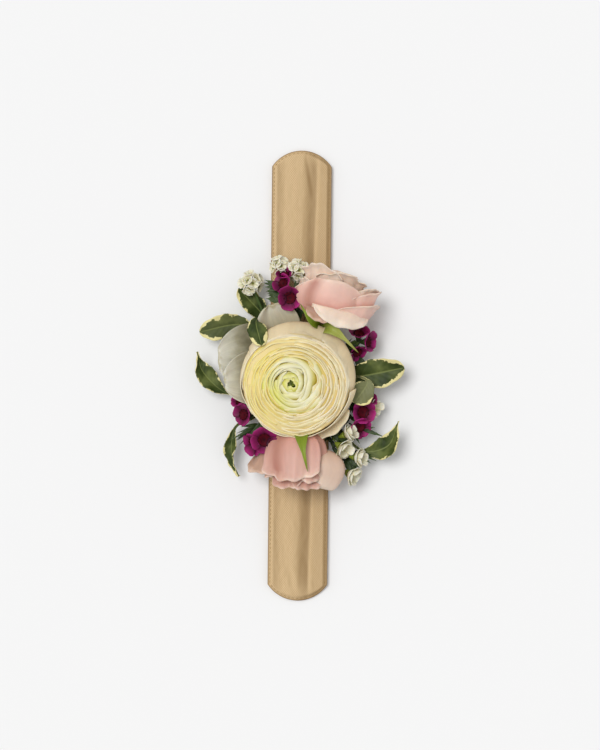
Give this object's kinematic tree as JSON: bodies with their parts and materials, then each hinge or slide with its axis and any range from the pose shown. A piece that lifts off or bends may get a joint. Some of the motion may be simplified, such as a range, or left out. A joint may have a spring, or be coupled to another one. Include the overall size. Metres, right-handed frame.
{
  "type": "wrist corsage",
  "caption": "Slap-band wrist corsage: a straight fabric-covered spring band that curls round the wrist, with a ranunculus, spray roses, small flowers and variegated leaves glued on its middle.",
  "frame": {"origin": "centre of the flat underside of the band's middle, the face that lies on the wrist", "axes": "+X across the band to the right in the picture, +Y along the band to its upper end, +Z out of the band towards the flowers"},
  "size_m": [0.1071, 0.23, 0.0389],
  "materials": {
    "cloth": "woven, satin",
    "spring_steel": "bright rolled",
    "glue": "cured florist's glue",
    "ranunculus_petal": "soft satin petal",
    "ranunculus_heart": "soft satin petal",
    "guard_petal": "soft satin petal",
    "green_stem": "fresh green stem",
    "rose_petal": "velvet petal",
    "rose_edge_petal": "velvet petal",
    "waxflower": "waxy petal",
    "white_flower": "matte petal",
    "leaf": "leathery leaf, cream margin"
  },
  "bodies": {
    "core": {"sleeve_core": "cloth", "blade_core": "spring_steel", "glue_pad": "glue", "ranunculus_outer_petals": "ranunculus_petal", "ranunculus_middle_petals": "ranunculus_petal", "ranunculus_inner_petals": "ranunculus_petal", "ranunculus_heart": "ranunculus_heart", "ranunculus_guard_left_back": "guard_petal", "ranunculus_guard_left_front": "guard_petal", "ranunculus_guard_top": "guard_petal", "ranunculus_receptacle": "green_stem", "rose_upper_calyx": "green_stem", "rose_lower_calyx": "green_stem", "rose_upper_heart": "rose_petal", "rose_upper_cheek_petal": "rose_petal", "rose_lower_heart": "rose_petal", "rose_lower_cheek_petal": "rose_petal", "rose_upper_right_petal": "rose_edge_petal", "rose_upper_folded_petal": "rose_edge_petal", "rose_lower_left_petal": "rose_edge_petal", "rose_lower_right_petal": "rose_edge_petal", "waxflower_sprig_top": "waxflower", "waxflower_sprig_right_upper": "waxflower", "waxflower_sprig_right_lower": "waxflower", "waxflower_sprig_left": "waxflower", "white_waxflower_sprig": "white_flower", "white_filler_left": "white_flower", "white_filler_band": "white_flower", "leaf_left_upper": "leaf", "leaf_left_lower": "leaf", "leaf_over_petal": "leaf", "leaf_behind_filler": "leaf", "leaf_lower_left": "leaf", "leaf_right": "leaf", "leaf_right_folded": "leaf", "leaf_right_lower": "leaf"},
    "upper_link_1": {"sleeve_upper_1": "cloth", "blade_upper_1": "spring_steel"},
    "upper_link_2": {"sleeve_upper_2": "cloth", "blade_upper_2": "spring_steel"},
    "upper_link_3": {"sleeve_upper_3": "cloth", "blade_upper_3": "spring_steel"},
    "upper_link_4": {"sleeve_upper_4": "cloth", "blade_upper_4": "spring_steel"},
    "upper_link_5": {"sleeve_upper_5": "cloth", "blade_upper_5": "spring_steel"},
    "upper_link_6": {"sleeve_upper_6": "cloth", "blade_upper_6": "spring_steel"},
    "lower_link_1": {"sleeve_lower_1": "cloth", "blade_lower_1": "spring_steel"},
    "lower_link_2": {"sleeve_lower_2": "cloth", "blade_lower_2": "spring_steel"},
    "lower_link_3": {"sleeve_lower_3": "cloth", "blade_lower_3": "spring_steel"},
    "lower_link_4": {"sleeve_lower_4": "cloth", "blade_lower_4": "spring_steel"},
    "lower_link_5": {"sleeve_lower_5": "cloth", "blade_lower_5": "spring_steel"},
    "lower_link_6": {"sleeve_lower_6": "cloth", "blade_lower_6": "spring_steel"}
  },
  "joints": [
    {"name": "upper_curl_1", "type": "hinge", "parent": "core", "child": "upper_link_1", "pos_m": [0, 0.012, 0.0005], "axis": [-1, 0, 0], "range_deg": [0, 38]},
    {"name": "upper_curl_2", "type": "hinge", "parent": "upper_link_1", "child": "upper_link_2", "pos_m": [0, 0.02917, 0.0005], "axis": [-1, 0, 0], "range_deg": [0, 38]},
    {"name": "upper_curl_3", "type": "hinge", "parent": "upper_link_2", "child": "upper_link_3", "pos_m": [0, 0.04633, 0.0005], "axis": [-1, 0, 0], "range_deg": [0, 38]},
    {"name": "upper_curl_4", "type": "hinge", "parent": "upper_link_3", "child": "upper_link_4", "pos_m": [0, 0.0635, 0.0005], "axis": [-1, 0, 0], "range_deg": [0, 38]},
    {"name": "upper_curl_5", "type": "hinge", "parent": "upper_link_4", "child": "upper_link_5", "pos_m": [0, 0.08067, 0.0005], "axis": [-1, 0, 0], "range_deg": [0, 38]},
    {"name": "upper_curl_6", "type": "hinge", "parent": "upper_link_5", "child": "upper_link_6", "pos_m": [0, 0.09783, 0.0005], "axis": [-1, 0, 0], "range_deg": [0, 38]},
    {"name": "lower_curl_1", "type": "hinge", "parent": "core", "child": "lower_link_1", "pos_m": [0, -0.012, 0.0005], "axis": [1, 0, 0], "range_deg": [0, 32]},
    {"name": "lower_curl_2", "type": "hinge", "parent": "lower_link_1", "child": "lower_link_2", "pos_m": [0, -0.02917, 0.0005], "axis": [1, 0, 0], "range_deg": [0, 32]},
    {"name": "lower_curl_3", "type": "hinge", "parent": "lower_link_2", "child": "lower_link_3", "pos_m": [0, -0.04633, 0.0005], "axis": [1, 0, 0], "range_deg": [0, 32]},
    {"name": "lower_curl_4", "type": "hinge", "parent": "lower_link_3", "child": "lower_link_4", "pos_m": [0, -0.0635, 0.0005], "axis": [1, 0, 0], "range_deg": [0, 32]},
    {"name": "lower_curl_5", "type": "hinge", "parent": "lower_link_4", "child": "lower_link_5", "pos_m": [0, -0.08067, 0.0005], "axis": [1, 0, 0], "range_deg": [0, 32]},
    {"name": "lower_curl_6", "type": "hinge", "parent": "lower_link_5", "child": "lower_link_6", "pos_m": [0, -0.09783, 0.0005], "axis": [1, 0, 0], "range_deg": [0, 32]}
  ],
  "couplings": [
    {"joint": "upper_curl_2", "follows": "upper_curl_1", "ratio": 1},
    {"joint": "upper_curl_3", "follows": "upper_curl_1", "ratio": 1},
    {"joint": "upper_curl_4", "follows": "upper_curl_1", "ratio": 1},
    {"joint": "upper_curl_5", "follows": "upper_curl_1", "ratio": 1},
    {"joint": "upper_curl_6", "follows": "upper_curl_1", "ratio": 1},
    {"joint": "lower_curl_2", "follows": "lower_curl_1", "ratio": 1},
    {"joint": "lower_curl_3", "follows": "lower_curl_1", "ratio": 1},
    {"joint": "lower_curl_4", "follows": "lower_curl_1", "ratio": 1},
    {"joint": "lower_curl_5", "follows": "lower_curl_1", "ratio": 1},
    {"joint": "lower_curl_6", "follows": "lower_curl_1", "ratio": 1}
  ]
}
